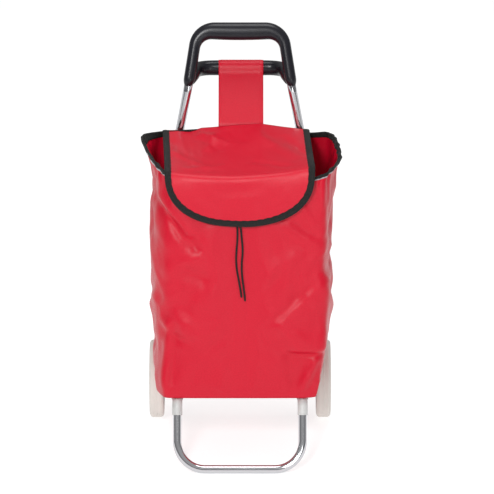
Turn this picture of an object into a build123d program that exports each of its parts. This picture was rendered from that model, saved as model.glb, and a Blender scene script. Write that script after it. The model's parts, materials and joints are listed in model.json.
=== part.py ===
"""Two-wheeled shopping trolley: a folding tube frame, a soft bag with a lid flap, two wheels and a foot.

Millimetres. X runs to the trolley's right as seen from its front, Y from the front to the handle side and Z up.
Everything is first laid out from the axle (y = 0, floor at z = 0), then moved along Y so that the origin is
the centre of the whole trolley's footprint box on the floor.
"""
from build123d import *
from math import cos, radians, sin, tan
import os

# ---------------------------------------------------------------- driving dimensions
WHEEL_D = 170
TYRE_W = 31
TYRE_DEPTH = 19            # tread to the rim seat
WHEEL_INNER_X = 166        # inner face of the tyre
AXLE_D = 10
AXLE_HALF = 192            # ends inside the tyre's width
HUB_OUT_X = 188            # outer face of the hub boss

LEAN = 5                   # degrees the frame leans back
GRIP_LEAN = 19             # degrees the handle leans back
SIDE_X = 146               # centre of a lower side tube
SIDE_D = 22
SIDE_BELOW = 24            # tube length below the axle
SIDE_TOP = 460             # tube length above the axle
UPPER_D = 19
TUBE_WALL = 1.2
PLUG_DEPTH = 60            # upper tube inside the side tube
FRAME_TO_GRIP = 655        # axle to the handle's lower ends, along the frame
GRIP_END_X = 111           # centre of a handle leg at its lower end
GRIP_TAPER = 0.16          # legs close in by this much per millimetre of height

GRIP_H = 140               # handle height in its own plane
GRIP_BAR = 37
GRIP_LEG = 25
GRIP_DEPTH = 30
GRIP_OUTER_R = 55
GRIP_INNER_R = 23.4
GRIP_ROUND = 12
SHELL_WALL = 5.5
TUBE_IN_GRIP = 66

HANG_UP = 28               # the bar's arms spring from this height on the handle legs
HANG_REACH = 66            # handle leg to the middle of the hanging bar
HANG_DROP = 6              # degrees below level, towards the back
HANG_X = 98
HANG_R = 36
HANG_SEC = (28, 32)        # across the bar in its plane, and through it

BAG_BOTTOM = 148
BAG_TOP_FRONT = 655
BAG_TOP_BACK = 650
BAG_FRONT_LOW = -245       # y of the front panel at its foot
BAG_FRONT_HIGH = -205      # y of the front panel at the mouth
BAG_GAP = 2.5              # back panel to the side tubes
BAG_HALF_LOW = 160         # narrow enough to pass between the wheels
BAG_HALF_WIDE = 188
BAG_HALF_TOP = 204
BAG_WIDE_Z = 230
CLOTH = 2

FLAP_HALF = 157
FLAP_TIP_Z = 534
FLAP_ROUND = 115           # height of the flap's rounded tip
FLAP_ABOVE = 8             # flap above the mouth
FLAP_AHEAD = 11            # flap in front of the bag
FLAP_BEND_R = 15
FLAP_T = 2
BINDING_W = 13
EYELET_X = 9
EYELET_Z = 622
EYELET_D = 10

STRAP_W = 94
STRAP_T = 2.5

ARM_X = 133
ARM_Z = 136
ARM_D = 18
FOLD_Y = -45               # fold pivot
ELBOW_Y = -243
FOOT_Y = -303.5
FOOT_R = 59
ROD_D = 8
ROD_YS = (-110, -190)

BRACE_UPS = (150, 385)     # heights up the frame
LOOP_UP = 300
SPOKES = 6

CORD_D = 4
RUN = 0.05                 # radial clearance of a running fit

# ---------------------------------------------------------------- worked-out places
WHEEL_R = WHEEL_D / 2
SIDE_R, UPPER_R, ARM_R = SIDE_D / 2, UPPER_D / 2, ARM_D / 2
FOOT_Z = ARM_R
LEAN_C = cos(radians(LEAN))


def leaning_plane(y, z, degrees):
    """Local x to the right, local z up the lean, local y backwards."""
    a = radians(degrees)
    return Plane(origin=(0, y, z), x_dir=(1, 0, 0), z_dir=(0, sin(a), cos(a)))


def face_plane(y, z, degrees):
    """For outlines seen from the front: local x to the right, local y up the lean, normal to the front."""
    a = radians(degrees)
    return Plane(origin=(0, y, z), x_dir=(1, 0, 0), z_dir=(0, -cos(a), sin(a)))


FRAME = leaning_plane(0, WHEEL_R, LEAN)


def on_frame(x, back, up):
    """World point from frame coordinates: across, behind the tubes' centres, and up the frame."""
    return FRAME.from_local_coords(Vector(x, back, up))


GRIP_END = on_frame(0, 0, FRAME_TO_GRIP)
GRIP = leaning_plane(GRIP_END.Y, GRIP_END.Z, GRIP_LEAN)
GRIP_FACE = face_plane(GRIP_END.Y, GRIP_END.Z, GRIP_LEAN)
HANG_ROOT = GRIP.from_local_coords(Vector(0, 0, HANG_UP))
HANG = leaning_plane(HANG_ROOT.Y, HANG_ROOT.Z, 90 + HANG_DROP)


def bag_back_y(z):
    """Outer face of the back panel, parallel to the side tubes."""
    return (z - WHEEL_R) * tan(radians(LEAN)) - (SIDE_R + BAG_GAP) / LEAN_C


def bag_front_y(z):
    """Outer face of the front panel."""
    share = (z - BAG_BOTTOM) / (BAG_TOP_FRONT - BAG_BOTTOM)
    return BAG_FRONT_LOW + share * (BAG_FRONT_HIGH - BAG_FRONT_LOW)


# ---------------------------------------------------------------- helpers
def rod(start, end, radius):
    """Round bar between two points, its seam on top or at its side, where nothing is drilled."""
    start, end = Vector(start), Vector(end)
    along = end - start
    upright = abs(along.Z) > abs(along.X) + abs(along.Y)
    plane = Plane(origin=start, x_dir=(1, 0, 0) if upright else (0, 0, 1), z_dir=along)
    return Solid.make_cylinder(radius, along.length, plane)


def pipe(route, radii, outer, inner=0):
    """Round bar or tube along straight runs joined by tangent arcs."""
    path = FilletPolyline(*route, radius=radii) if len(route) > 2 else Line(*route)
    start = Plane(origin=path @ 0, z_dir=path % 0)
    solid = sweep(start * Circle(outer), path=path)
    if inner:
        solid -= sweep(start * Circle(inner), path=path)
    return solid


def across(x_low, x_high, y, z, radius):
    """Round bar along X."""
    return rod((x_low, y, z), (x_high, y, z), radius)


def block(low, high):
    """Box between two opposite corners."""
    size = [b - a for a, b in zip(low, high)]
    return Solid.make_box(*size, Plane(origin=low))


def side_prism(points, half):
    """Outline in Y and Z, as wide as twice half."""
    outline = Plane.YZ * make_face(Polyline(*points, close=True))
    return extrude(outline, half, both=True)


def front_prism(points, y_low=-400, y_high=200):
    """Outline in X and Z, through all of the depth."""
    outline = Plane.XZ.offset(-y_high) * make_face(Polyline(*points, close=True))
    return extrude(outline, y_high - y_low)


def both_sides(solid):
    """The solid and its mirror image in the trolley's middle plane."""
    return [solid, mirror(solid, about=Plane.YZ)]


# ---------------------------------------------------------------- frame
def upper_route():
    """Centre line of the right upper tube, from its plug to inside the handle leg."""
    grip_x = GRIP_END_X
    bend_up = FRAME_TO_GRIP - (SIDE_X - grip_x) / GRIP_TAPER
    return [
        on_frame(SIDE_X, 0, SIDE_TOP - PLUG_DEPTH),
        on_frame(SIDE_X, 0, max(bend_up, SIDE_TOP + 12)),
        on_frame(grip_x, 0, FRAME_TO_GRIP),
        GRIP.from_local_coords(Vector(grip_x - GRIP_TAPER * TUBE_IN_GRIP, 0, TUBE_IN_GRIP)),
    ]


UPPER_BENDS = (55, 60)


def side_tube():
    tube = rod(on_frame(SIDE_X, 0, -SIDE_BELOW), on_frame(SIDE_X, 0, SIDE_TOP), SIDE_R)
    bore = rod(on_frame(SIDE_X, 0, -SIDE_BELOW), on_frame(SIDE_X, 0, SIDE_TOP), SIDE_R - TUBE_WALL)
    return tube - bore - across(SIDE_X - 20, SIDE_X + 20, 0, WHEEL_R, AXLE_D / 2 + 1)


def upper_tube():
    return pipe(upper_route(), UPPER_BENDS, UPPER_R, UPPER_R - TUBE_WALL)


def tube_collar():
    """Plastic sleeve between the two tube sizes, with a rim that sits on the side tube's end."""
    low, high = on_frame(SIDE_X, 0, SIDE_TOP - 25), on_frame(SIDE_X, 0, SIDE_TOP)
    sleeve = rod(low, high, SIDE_R - TUBE_WALL)
    rim = rod(high, on_frame(SIDE_X, 0, SIDE_TOP + 5), SIDE_R + 1.5)
    tube = rod(on_frame(SIDE_X, 0, SIDE_TOP - 40), on_frame(SIDE_X, 0, SIDE_TOP + 12), UPPER_R)
    return sleeve + rim - tube


def cross_brace(up):
    """Flat steel strip riveted behind both side tubes."""
    half_w, thick = SIDE_X + 9, 2
    strip = Box(2 * half_w, thick, 20, align=(Align.CENTER, Align.MIN, Align.CENTER))
    strip = fillet(strip.edges().filter_by(Axis.Y), 6)
    return FRAME * Pos(0, SIDE_R, up) * strip


def frame_rivet(x, up, reach):
    """Rivet through the tube from the front, headed at both ends."""
    shank = rod(on_frame(x, -SIDE_R - 0.5, up), on_frame(x, reach, up), 2.5)
    front = rod(on_frame(x, -SIDE_R - 1.5, up), on_frame(x, -SIDE_R + 1, up), 4)
    back = rod(on_frame(x, reach, up), on_frame(x, reach + 1.8, up), 4)
    return shank + front + back


def brace_rivets():
    return [frame_rivet(x, up, SIDE_R + 2) for x in (-SIDE_X, SIDE_X) for up in BRACE_UPS]


def collar_rivets():
    return [frame_rivet(x, SIDE_TOP - 38, SIDE_R) for x in (-SIDE_X, SIDE_X)]


def tube_end_plug():
    """Domed plastic plug in the lower end of a side tube."""
    cap = rod(on_frame(SIDE_X, 0, -SIDE_BELOW - 4), on_frame(SIDE_X, 0, -SIDE_BELOW), SIDE_R)
    cap = fillet(cap.edges().sort_by(Axis.Z)[0], 2.5)
    return cap + rod(on_frame(SIDE_X, 0, -SIDE_BELOW), on_frame(SIDE_X, 0, -SIDE_BELOW + 12), SIDE_R - TUBE_WALL)


# ---------------------------------------------------------------- axle and wheels
def axle_bush():
    """Plastic bush that carries the axle through a side tube."""
    body = across(SIDE_X - SIDE_R - 3, SIDE_X + SIDE_R + 3, 0, WHEEL_R, AXLE_D / 2 + 1)
    return body - across(SIDE_X - 20, SIDE_X + 20, 0, WHEEL_R, AXLE_D / 2)


def wheel_spacer():
    inner_x, outer_x = SIDE_X + SIDE_R + 3, WHEEL_INNER_X - 3.5
    ring = across(inner_x, outer_x, 0, WHEEL_R, 9)
    return ring - across(inner_x - 1, outer_x + 1, 0, WHEEL_R, AXLE_D / 2)


def axle_nut():
    """Push-on retaining nut on the axle's end."""
    low, high = HUB_OUT_X + 0.5, AXLE_HALF - 1
    return across(low, high, 0, WHEEL_R, 8) - across(low - 1, high + 1, 0, WHEEL_R, AXLE_D / 2)


def tyre():
    """Moulded tyre with rounded shoulders."""
    rim_r = WHEEL_R - TYRE_DEPTH
    x_low, x_high = WHEEL_INNER_X, WHEEL_INNER_X + TYRE_W
    section = make_face(Polyline((x_low, rim_r), (x_high, rim_r), (x_high, WHEEL_R), (x_low, WHEEL_R), close=True))
    section = fillet(section.vertices().sort_by(Axis.Y)[-2:], 9)
    return Pos(0, 0, WHEEL_R) * revolve(Plane.XZ * section, Axis.X)


def wheel_hub():
    """Rim, web, spokes and hub boss in one moulding."""
    rim_r = WHEEL_R - TYRE_DEPTH
    x_low, x_high = WHEEL_INNER_X + 2, WHEEL_INNER_X + TYRE_W - 2
    boss_low, boss_high = WHEEL_INNER_X - 3, HUB_OUT_X
    middle = (x_low + x_high) / 2
    rim = across(x_low, x_high, 0, 0, rim_r) - across(x_low - 1, x_high + 1, 0, 0, rim_r - 5)
    boss = across(boss_low, boss_high, 0, 0, 15)
    web = across(middle - 1.5, middle + 1.5, 0, 0, rim_r - 3)
    spoke = block((middle - 9, -3, 12), (middle + 6, 3, rim_r - 3))
    hub = rim + boss + web
    for turn in range(SPOKES):
        hub += Rot(turn * 360 / SPOKES, 0, 0) * spoke
    hub -= across(boss_low - 1, boss_high + 1, 0, 0, AXLE_D / 2 + RUN)
    return Pos(0, 0, WHEEL_R) * hub


def wheel_cap():
    """Domed cap over the axle's end, clear of the nut."""
    low, high = HUB_OUT_X, AXLE_HALF + 3.5
    dome = fillet(across(low, high, 0, WHEEL_R, 15).edges().sort_by(Axis.X)[-1], 4)
    return dome - across(low - 1, high - 2.5, 0, WHEEL_R, 11)


# ---------------------------------------------------------------- handle
def grip_outline():
    """Inverted U seen square on, its legs closing in towards the bar."""
    out_x, in_x = GRIP_END_X + GRIP_LEG / 2, GRIP_END_X - GRIP_LEG / 2
    in_h = GRIP_H - GRIP_BAR
    points = [(out_x, 0), (out_x - GRIP_TAPER * GRIP_H, GRIP_H)]
    points += [(-x, h) for x, h in reversed(points)]
    points += [(-in_x, 0), (-in_x + GRIP_TAPER * in_h, in_h), (in_x - GRIP_TAPER * in_h, in_h), (in_x, 0)]
    outline = make_face(Polyline(*points, close=True))
    top = outline.vertices().sort_by(Axis.Y)[-2:]
    outline = fillet(top, GRIP_OUTER_R)
    under = [v for v in outline.vertices() if abs(v.Y - in_h) < 0.01 and abs(v.X) < in_x]
    return fillet(under, GRIP_INNER_R)


def grip_blank():
    """The handle's outer shape, solid."""
    solid = extrude(GRIP_FACE * grip_outline(), GRIP_DEPTH / 2, both=True)
    rims = [e for e in solid.edges() if abs(GRIP_FACE.to_local_coords(e.center()).Z) > GRIP_DEPTH / 2 - 0.1]
    return fillet(rims, GRIP_ROUND)


def tubes_in_grip():
    return both_sides(pipe(upper_route()[1:], UPPER_BENDS[1:], UPPER_R))


def grip_body():
    solid = grip_blank()
    hollow = extrude(GRIP_FACE * offset(grip_outline(), -SHELL_WALL), GRIP_DEPTH / 2 - 6, both=True)
    bosses = [grip_boss(x, up) for x, up in GRIP_SCREWS]
    return solid - (hollow - bosses) - tubes_in_grip() - [grip_screw(x, up) for x, up in GRIP_SCREWS]


def leg_x(up):
    return GRIP_END_X - GRIP_TAPER * up


BAR_UP = GRIP_H - GRIP_BAR / 2
LEG_SCREW_UP = 56
GRIP_SCREWS = [(-leg_x(LEG_SCREW_UP), LEG_SCREW_UP), (-40, BAR_UP), (40, BAR_UP), (leg_x(LEG_SCREW_UP), LEG_SCREW_UP)]


def grip_boss(x, up):
    return rod(GRIP.from_local_coords((x, -14, up)), GRIP.from_local_coords((x, 14, up)), 5)


def grip_screw(x, up):
    """Countersunk screw from behind, through the rear shell into the front one."""
    back = GRIP_DEPTH / 2 - 1
    shank = rod(GRIP.from_local_coords((x, -11, up)), GRIP.from_local_coords((x, back, up)), 1.6)
    return shank + rod(GRIP.from_local_coords((x, back - 3, up)), GRIP.from_local_coords((x, back, up)), 3.4)


def grip_half(body, sign):
    """Front (sign -1) or rear (sign 1) shell of the handle."""
    side = Box(400, 60, 400, align=(Align.CENTER, Align.MIN if sign > 0 else Align.MAX, Align.CENTER))
    return body & (GRIP * side)


def hang_route():
    return [HANG.from_local_coords(Vector(x, 0, reach)) for x, reach in
            ((HANG_X, -4), (HANG_X, HANG_REACH), (-HANG_X, HANG_REACH), (-HANG_X, -4))]


def hang_bar():
    """Second, lower bar behind the handle: the bag hangs from it."""
    path = FilletPolyline(*hang_route(), radius=HANG_R)
    start = Plane(origin=path @ 0, x_dir=(1, 0, 0), z_dir=path % 0)
    bar = sweep(start * Ellipse(HANG_SEC[0] / 2, HANG_SEC[1] / 2), path=path)
    in_front = GRIP * Box(400, 60, 400, align=(Align.CENTER, Align.MAX, Align.CENTER))
    return bar - grip_blank() - tubes_in_grip() - in_front


# ---------------------------------------------------------------- folding platform
def fold_pin():
    """Headed pivot pin of one platform arm."""
    pin = across(ARM_X - 14.5, ARM_X + 14.5, FOLD_Y, ARM_Z, 3)
    return pin + across(ARM_X - 14.5, ARM_X - 13, FOLD_Y, ARM_Z, 5) + across(ARM_X + 13, ARM_X + 14.5, FOLD_Y, ARM_Z, 5)


def hinge_bracket():
    """Two cheeks and a web of folded steel, welded to the front of the side tube."""
    cheek_t, low, high = 2.5, ARM_Z - 9, ARM_Z + 9
    inner, outer = ARM_X - 13, ARM_X + 13
    web_y = FOLD_Y + 29
    channel = block((inner, FOLD_Y - 11, low), (outer, web_y + cheek_t, high))
    channel -= block((inner + cheek_t, FOLD_Y - 12, low - 1), (outer - cheek_t, web_y, high + 1))
    saddle = block((SIDE_X - 9, web_y, low), (SIDE_X + 9, 2, high))
    tube = rod(on_frame(SIDE_X, 0, 0), on_frame(SIDE_X, 0, 120), SIDE_R)
    return channel + saddle - tube - across(inner - 1, outer + 1, FOLD_Y, ARM_Z, 3)


def platform_arm():
    arm = rod((ARM_X, FOLD_Y + 12, ARM_Z), (ARM_X, ELBOW_Y + 13, ARM_Z), ARM_R)
    arm -= rod((ARM_X, FOLD_Y + 13, ARM_Z), (ARM_X, ELBOW_Y + 12, ARM_Z), ARM_R - TUBE_WALL)
    return arm - across(ARM_X - 12, ARM_X + 12, FOLD_Y, ARM_Z, 3 + RUN) - platform_rods()


def platform_rods():
    return [across(-ARM_X, ARM_X, y, ARM_Z, ROD_D / 2) for y in ROD_YS]


def foot_route():
    """U whose legs slope forwards from the elbows to the bar on the floor."""
    top_share = 13 / (Vector(0, ELBOW_Y, ARM_Z) - Vector(0, FOOT_Y, FOOT_Z)).length
    top_y = ELBOW_Y + top_share * (FOOT_Y - ELBOW_Y)
    top_z = ARM_Z + top_share * (FOOT_Z - ARM_Z)
    return [(ARM_X, top_y, top_z), (ARM_X, FOOT_Y, FOOT_Z), (-ARM_X, FOOT_Y, FOOT_Z), (-ARM_X, top_y, top_z)]


def foot_tube():
    return pipe(foot_route(), FOOT_R, ARM_R, ARM_R - TUBE_WALL)


def elbow():
    """Plastic fitting that joins a platform arm to a foot leg."""
    top, floor = Vector(ARM_X, ELBOW_Y, ARM_Z), Vector(ARM_X, FOOT_Y, FOOT_Z)
    low = top + (floor - top).normalized() * 26
    body = pipe([(ARM_X, ELBOW_Y + 26, ARM_Z), top, low], 16, ARM_R + 1.8)
    arm = rod((ARM_X, ELBOW_Y + 40, ARM_Z), (ARM_X, ELBOW_Y + 13, ARM_Z), ARM_R)
    leg = rod(foot_route()[0], floor, ARM_R)
    return body - arm - leg


def elbow_rivet():
    """Cross rivet that holds the arm in the elbow."""
    y = ELBOW_Y + 20
    return across(ARM_X - ARM_R - 3, ARM_X + ARM_R + 3, y, ARM_Z, 2)


def base_board():
    """Stiffening board that lies in the bag on the platform."""
    low_z = BAG_BOTTOM + CLOTH
    rear_y = FOLD_Y - 16       # clear of the hinge brackets when the platform is folded up
    board = block((-150, BAG_FRONT_LOW + 8, low_z), (150, rear_y, low_z + 3))
    return fillet(board.edges().filter_by(Axis.Z), 12)


# ---------------------------------------------------------------- bag
def bag_side_outline(inset):
    """Outline of the bag from the side; inset moves the front, back and bottom inwards."""
    low = BAG_BOTTOM + inset
    front_high, back_high = BAG_TOP_FRONT, BAG_TOP_BACK
    return [(bag_front_y(low) + inset, low), (bag_front_y(front_high) + inset, front_high),
            (bag_back_y(back_high) - inset, back_high), (bag_back_y(low) - inset, low)]


def bag_front_outline(inset, top=700):
    low = BAG_BOTTOM
    right = [(BAG_HALF_LOW - inset, low), (BAG_HALF_WIDE - inset, BAG_WIDE_Z), (BAG_HALF_TOP - inset, top)]
    return right + [(-x, z) for x, z in reversed(right)]


def bag_shape(side_inset, front_inset):
    return side_prism(bag_side_outline(side_inset), 260) & front_prism(bag_front_outline(front_inset))


def bag_panels():
    """The bag's sewn panels, meeting face to face at their seams."""
    outer, slot = bag_shape(0, 0), bag_shape(CLOTH, 0)
    inner = bag_shape(CLOTH, CLOTH)
    shell = outer - slot
    front = shell & block((-260, -400, BAG_BOTTOM + CLOTH), (260, -150, 700))
    back = shell & block((-260, -60, BAG_BOTTOM + CLOTH), (260, 200, 700))
    bottom = shell & block((-260, -400, BAG_BOTTOM), (260, 200, BAG_BOTTOM + CLOTH))
    sides = slot - inner
    right = sides & block((0, -400, 0), (260, 200, 700))
    left = sides & block((-260, -400, 0), (0, 200, 700))
    return {
        "bag_front_panel": front,
        "bag_back_panel": back,
        "bag_bottom_panel": bottom,
        "bag_side_panel_right": right,
        "bag_side_panel_left": left,
    }


def mouth_ring(low, high, grow):
    """Band round the outside of the bag's mouth, grow thick."""
    outer = side_prism(bag_side_outline(-grow), 260) & front_prism(bag_front_outline(-grow))
    band = outer - bag_shape(0, 0)
    return band & block((-260, -400, low), (260, 200, high))


def mouth_binding():
    return mouth_ring(BAG_TOP_BACK - BINDING_W - 1, BAG_TOP_BACK, 1.2)


def reflective_piping():
    """Silver-grey tape just under the binding."""
    return mouth_ring(BAG_TOP_BACK - BINDING_W - 7, BAG_TOP_BACK - BINDING_W - 1, 0.9)


def eyelet(x):
    """Metal ring below the front hem where a drawstring end comes out."""
    y = bag_front_y(EYELET_Z)
    ring = rod((x, y - 1.9, EYELET_Z), (x, y - 1.2, EYELET_Z), EYELET_D / 2)
    return ring - rod((x, y - 3, EYELET_Z), (x, y + 3, EYELET_Z), EYELET_D / 2 - 1.8)


def hanging_strap():
    """Wide webbing that goes up from the bag's back, over the hanging bar and back down."""
    half_u, half_n = HANG_SEC[0] / 2 + 0.4, HANG_SEC[1] / 2 + 0.4
    low = Vector(0, bag_back_y(BAG_TOP_BACK - 25) + 1.5, BAG_TOP_BACK - 25)
    seam = Vector(0, bag_back_y(BAG_TOP_BACK) + 1.5, BAG_TOP_BACK)

    def loop(extra):
        over = HANG * Pos(0, 0, HANG_REACH) * Rot(0, 90, 0)
        ring = extrude(over * Ellipse(half_u + extra, half_n + extra), STRAP_W / 2, both=True)
        pts = [HANG.from_local_coords(Vector(0, -(half_n + extra) * f, HANG_REACH + (half_u + extra) * g))
               for f, g in ((0.9, -0.43), (-0.9, 0.43))]
        return ring, pts

    outer_ring, (outer_front, outer_back) = loop(STRAP_T)
    wedge = [(outer_front.Y, outer_front.Z), (outer_back.Y, outer_back.Z),
             (seam.Y + 2 * STRAP_T, seam.Z - 6), (low.Y + 2 * STRAP_T, low.Z), (low.Y, low.Z), (seam.Y, seam.Z)]
    inner_ring, (inner_front, inner_back) = loop(0)
    gap = [(inner_front.Y, inner_front.Z), (inner_back.Y, inner_back.Z), (seam.Y + 7, seam.Z + 7)]
    band = outer_ring + side_prism(wedge, STRAP_W / 2)
    return band - inner_ring - side_prism(gap, STRAP_W)


def frame_loop():
    """Webbing loop on the bag's back round a side tube."""
    def loop(grow, half_h):
        round_part = rod(on_frame(SIDE_X, 0, LOOP_UP - half_h), on_frame(SIDE_X, 0, LOOP_UP + half_h), SIDE_R + grow)
        neck = Box(2 * (SIDE_R + grow), SIDE_R + BAG_GAP, 2 * half_h, align=(Align.CENTER, Align.MAX, Align.CENTER))
        return round_part + FRAME * Pos(SIDE_X, 0, LOOP_UP) * neck
    return loop(2, 15) - loop(0.5, 20)


# ---------------------------------------------------------------- lid flap
FLAP_HINGE_Y = bag_back_y(BAG_TOP_BACK) - 2
FLAP_HINGE_Z = BAG_TOP_BACK + FLAP_ABOVE


def flap_profile(grow):
    """The flap from the side: back over the mouth, then down the front. grow thickens it both ways."""
    top_z = BAG_TOP_FRONT + FLAP_ABOVE
    edge = (bag_front_y(top_z) - FLAP_AHEAD, top_z)
    below_tip = (bag_front_y(FLAP_TIP_Z) - FLAP_AHEAD, FLAP_TIP_Z - 20)
    line = FilletPolyline((FLAP_HINGE_Y, FLAP_HINGE_Z), edge, below_tip, radius=FLAP_BEND_R)
    band = make_face(offset(line, FLAP_T / 2 + grow, side=Side.BOTH, kind=Kind.INTERSECTION))
    return extrude(Plane.YZ * band, 300, both=True)


def flap_outline(inset):
    """The flap seen from the front: straight sides and a deep rounded tip."""
    half, round_z = FLAP_HALF - inset, FLAP_TIP_Z + FLAP_ROUND
    face = Rectangle(2 * half, 100, align=(Align.CENTER, Align.MIN)) + Ellipse(half, FLAP_ROUND - inset)
    return extrude(Plane.XZ.offset(-200) * Pos(0, round_z) * face, 600)


def flap_panel():
    return flap_profile(0) & flap_outline(1)


def flap_binding():
    """Folded tape over the flap's edge."""
    return (flap_profile(0.7) & (flap_outline(0) - flap_outline(BINDING_W))) - flap_panel()


# ---------------------------------------------------------------- drawstring ends
def drawstring_route(side):
    """Points of one free end: out of its eyelet, down under the flap and on down the front of the bag."""
    drops = DRAWSTRING_RIGHT if side > 0 else DRAWSTRING_LEFT
    return [(x, bag_front_y(z) - ahead, z) for x, z, ahead in drops]


# across, up, and ahead of the front panel
DRAWSTRING_LEFT = [(-9, 622, 2.9), (-9, 618.3, 6.6), (-8.6, 611, 6.9), (-7.5, 600, 5), (-6, 584, 3.9),
                   (-4.5, 562, 4.1), (-5.5, 536, 3.8), (-4.5, 505, 4.1), (-7.5, 474, 4.2), (-8, 446, 3.8),
                   (-3.5, 418, 4.8), (1, 394, 4.4), (3.5, 374, 4)]
DRAWSTRING_RIGHT = [(9, 622, 2.9), (9, 618.3, 6.6), (8.6, 611, 6.9), (7.2, 600, 5.1), (4.6, 584, 3.9),
                    (1.8, 562, 4.1), (1, 536, 3.8), (4, 505, 4.2), (6.5, 476, 3.8), (3.5, 448, 4.6),
                    (4.5, 420, 4), (8.5, 392, 4.4), (11, 366, 3.9)]


def turn_radii(route):
    """Arc radius at each inner point: as large as its two runs allow."""
    points = [Vector(*p) if isinstance(p, tuple) else p for p in route]
    radii = []
    for before, here, after in zip(points, points[1:], points[2:]):
        shorter = min((here - before).length, (after - here).length)
        turn = (here - before).get_angle(after - here)
        radii.append(0.45 * shorter / tan(radians(turn / 2)))
    return radii


def drawstring(side):
    route = drawstring_route(side)
    return pipe(route, turn_radii(route), CORD_D / 2)


# ---------------------------------------------------------------- assembly
def build_nodes():
    """Every sub-part by name, in the axle frame."""
    nodes = {}

    def pair(name, solid):
        nodes[name + "_right"] = solid
        nodes[name + "_left"] = mirror(solid, about=Plane.YZ)

    braces = {"cross_brace_lower": cross_brace(BRACE_UPS[0]), "cross_brace_upper": cross_brace(BRACE_UPS[1])}
    rivets, collar_pins = brace_rivets(), collar_rivets()
    screws = [grip_screw(x, up) for x, up in GRIP_SCREWS]
    for name, brace in braces.items():
        nodes[name] = brace - rivets
    nodes["brace_rivets"] = Compound(children=rivets)
    nodes["collar_rivets"] = Compound(children=collar_pins)
    pair("side_tube", side_tube() - rivets - collar_pins)
    pair("upper_tube", upper_tube() - collar_pins - screws)
    nodes["tube_collars"] = Compound(children=both_sides(tube_collar()))
    nodes["tube_end_plugs"] = Compound(children=both_sides(tube_end_plug()))

    nodes["axle"] = across(-AXLE_HALF, AXLE_HALF, 0, WHEEL_R, AXLE_D / 2)
    nodes["axle_bushes"] = Compound(children=both_sides(axle_bush()))
    nodes["wheel_spacers"] = Compound(children=both_sides(wheel_spacer()))
    nodes["axle_nuts"] = Compound(children=both_sides(axle_nut()))
    pair("tyre", tyre())
    pair("wheel_hub", wheel_hub())
    pair("wheel_cap", wheel_cap())

    grip = grip_body()
    nodes["grip_front_shell"] = grip_half(grip, -1)
    nodes["grip_rear_shell"] = grip_half(grip, 1)
    nodes["grip_screws"] = Compound(children=screws)
    nodes["hang_bar"] = hang_bar()

    pair("hinge_bracket", hinge_bracket())
    nodes["fold_pins"] = Compound(children=both_sides(fold_pin()))
    elbow_pin = elbow_rivet()
    pair("platform_arm", platform_arm() - elbow_pin)
    pair("foot_elbow", elbow() - elbow_pin)
    nodes["elbow_rivets"] = Compound(children=both_sides(elbow_pin))
    nodes["platform_rods"] = Compound(children=platform_rods())
    nodes["foot_tube"] = foot_tube()
    nodes["base_board"] = base_board()

    nodes.update(bag_panels())
    nodes["mouth_binding"] = mouth_binding()
    nodes["reflective_piping"] = reflective_piping()
    nodes["eyelets"] = Compound(children=[eyelet(-EYELET_X), eyelet(EYELET_X)])
    nodes["hanging_strap"] = hanging_strap()
    nodes["frame_loops"] = Compound(children=both_sides(frame_loop()))
    nodes["flap_panel"] = flap_panel()
    nodes["flap_binding"] = flap_binding()
    nodes["drawstring_left"] = drawstring(-1)
    nodes["drawstring_right"] = drawstring(1)
    return nodes


CORDS = ("drawstring_left", "drawstring_right")


def footprint_shift(nodes):
    """How far along Y the trolley moves so that its footprint box is centred on the origin."""
    boxes = [solid.bounding_box() for name, solid in nodes.items() if name not in CORDS]
    return -(min(b.min.Y for b in boxes) + max(b.max.Y for b in boxes)) / 2


NODES = build_nodes()
SHIFT_Y = footprint_shift(NODES)
NODES = {name: Pos(0, SHIFT_Y, 0) * solid for name, solid in NODES.items()}

if __name__ == "__main__":
    os.makedirs("parts", exist_ok=True)
    for name, solid in NODES.items():
        export_step(solid, f"parts/{name}.step")
    print("shift along Y", round(SHIFT_Y, 3))
    for side in (-1, 1):
        print("drawstring radii", [round(r) for r in turn_radii(drawstring_route(side))])
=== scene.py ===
"""Two-wheeled shopping trolley with a red bag: materials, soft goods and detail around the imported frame."""
import json
from math import cos, pi, radians, sin, tan

import bpy
import numpy as np
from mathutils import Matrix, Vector, noise

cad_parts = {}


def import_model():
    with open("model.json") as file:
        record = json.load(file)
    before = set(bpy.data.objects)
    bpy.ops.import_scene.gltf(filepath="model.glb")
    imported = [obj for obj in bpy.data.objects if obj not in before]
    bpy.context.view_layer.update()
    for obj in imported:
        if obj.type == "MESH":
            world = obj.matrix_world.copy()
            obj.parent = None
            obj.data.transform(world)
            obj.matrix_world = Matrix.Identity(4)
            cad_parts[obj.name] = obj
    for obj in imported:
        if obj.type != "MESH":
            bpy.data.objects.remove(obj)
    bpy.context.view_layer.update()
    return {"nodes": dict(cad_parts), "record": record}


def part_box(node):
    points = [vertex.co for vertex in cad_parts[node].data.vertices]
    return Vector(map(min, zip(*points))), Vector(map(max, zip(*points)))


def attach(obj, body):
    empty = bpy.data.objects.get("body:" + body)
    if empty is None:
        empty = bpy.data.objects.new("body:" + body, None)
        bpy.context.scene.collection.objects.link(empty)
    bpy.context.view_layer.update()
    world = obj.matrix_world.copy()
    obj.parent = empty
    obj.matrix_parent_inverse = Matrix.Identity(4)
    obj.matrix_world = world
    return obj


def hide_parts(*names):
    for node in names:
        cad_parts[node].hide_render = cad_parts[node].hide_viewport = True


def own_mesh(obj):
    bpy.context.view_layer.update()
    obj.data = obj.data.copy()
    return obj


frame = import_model()

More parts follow.
